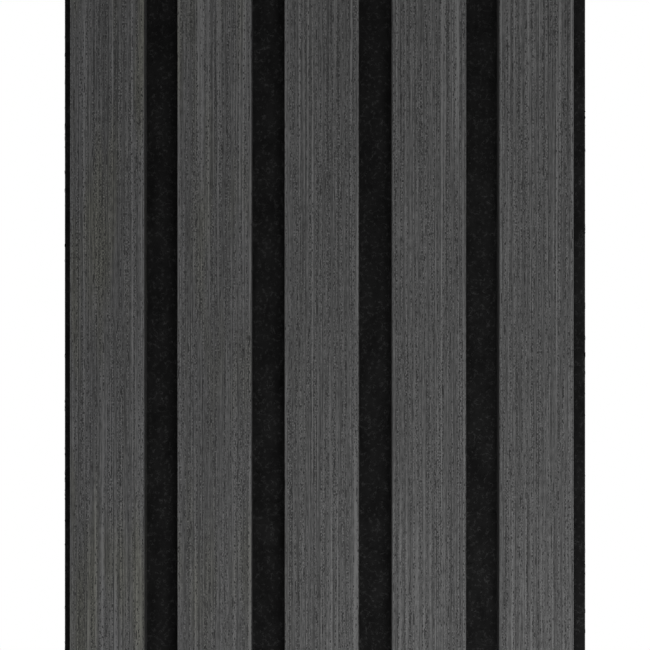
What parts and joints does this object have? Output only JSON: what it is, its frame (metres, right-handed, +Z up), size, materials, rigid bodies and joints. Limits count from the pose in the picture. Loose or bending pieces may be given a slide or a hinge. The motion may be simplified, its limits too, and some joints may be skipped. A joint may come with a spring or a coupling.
{
  "type": "acoustic slat wall panel",
  "caption": "Flat wall panel of upright veneered slats on a black felt board, stapled through it from behind; fixed to a wall to soften echo.",
  "frame": {"origin": "centre of the back face of the felt board, which lies against the wall", "axes": "+Z up along the slats, slat faces towards -Y, back face towards +Y, +X to the right seen from the front"},
  "size_m": [0.1968, 0.021, 0.6],
  "materials": {
    "veneer": "open-pored dark grey stained veneer, matt lacquer",
    "fibreboard": "raw medium-density fibreboard, sawn",
    "felt": "needled polyester felt, black, matt",
    "staple_wire": "galvanised wire, satin"
  },
  "bodies": {
    "root": {"felt_backing": "felt", "slat_1_core": "fibreboard", "slat_2_core": "fibreboard", "slat_3_core": "fibreboard", "slat_4_core": "fibreboard", "slat_5_core": "fibreboard", "slat_1_veneer": "veneer", "slat_2_veneer": "veneer", "slat_3_veneer": "veneer", "slat_4_veneer": "veneer", "slat_5_veneer": "veneer", "staples": "staple_wire"}
  },
  "joints": []
}
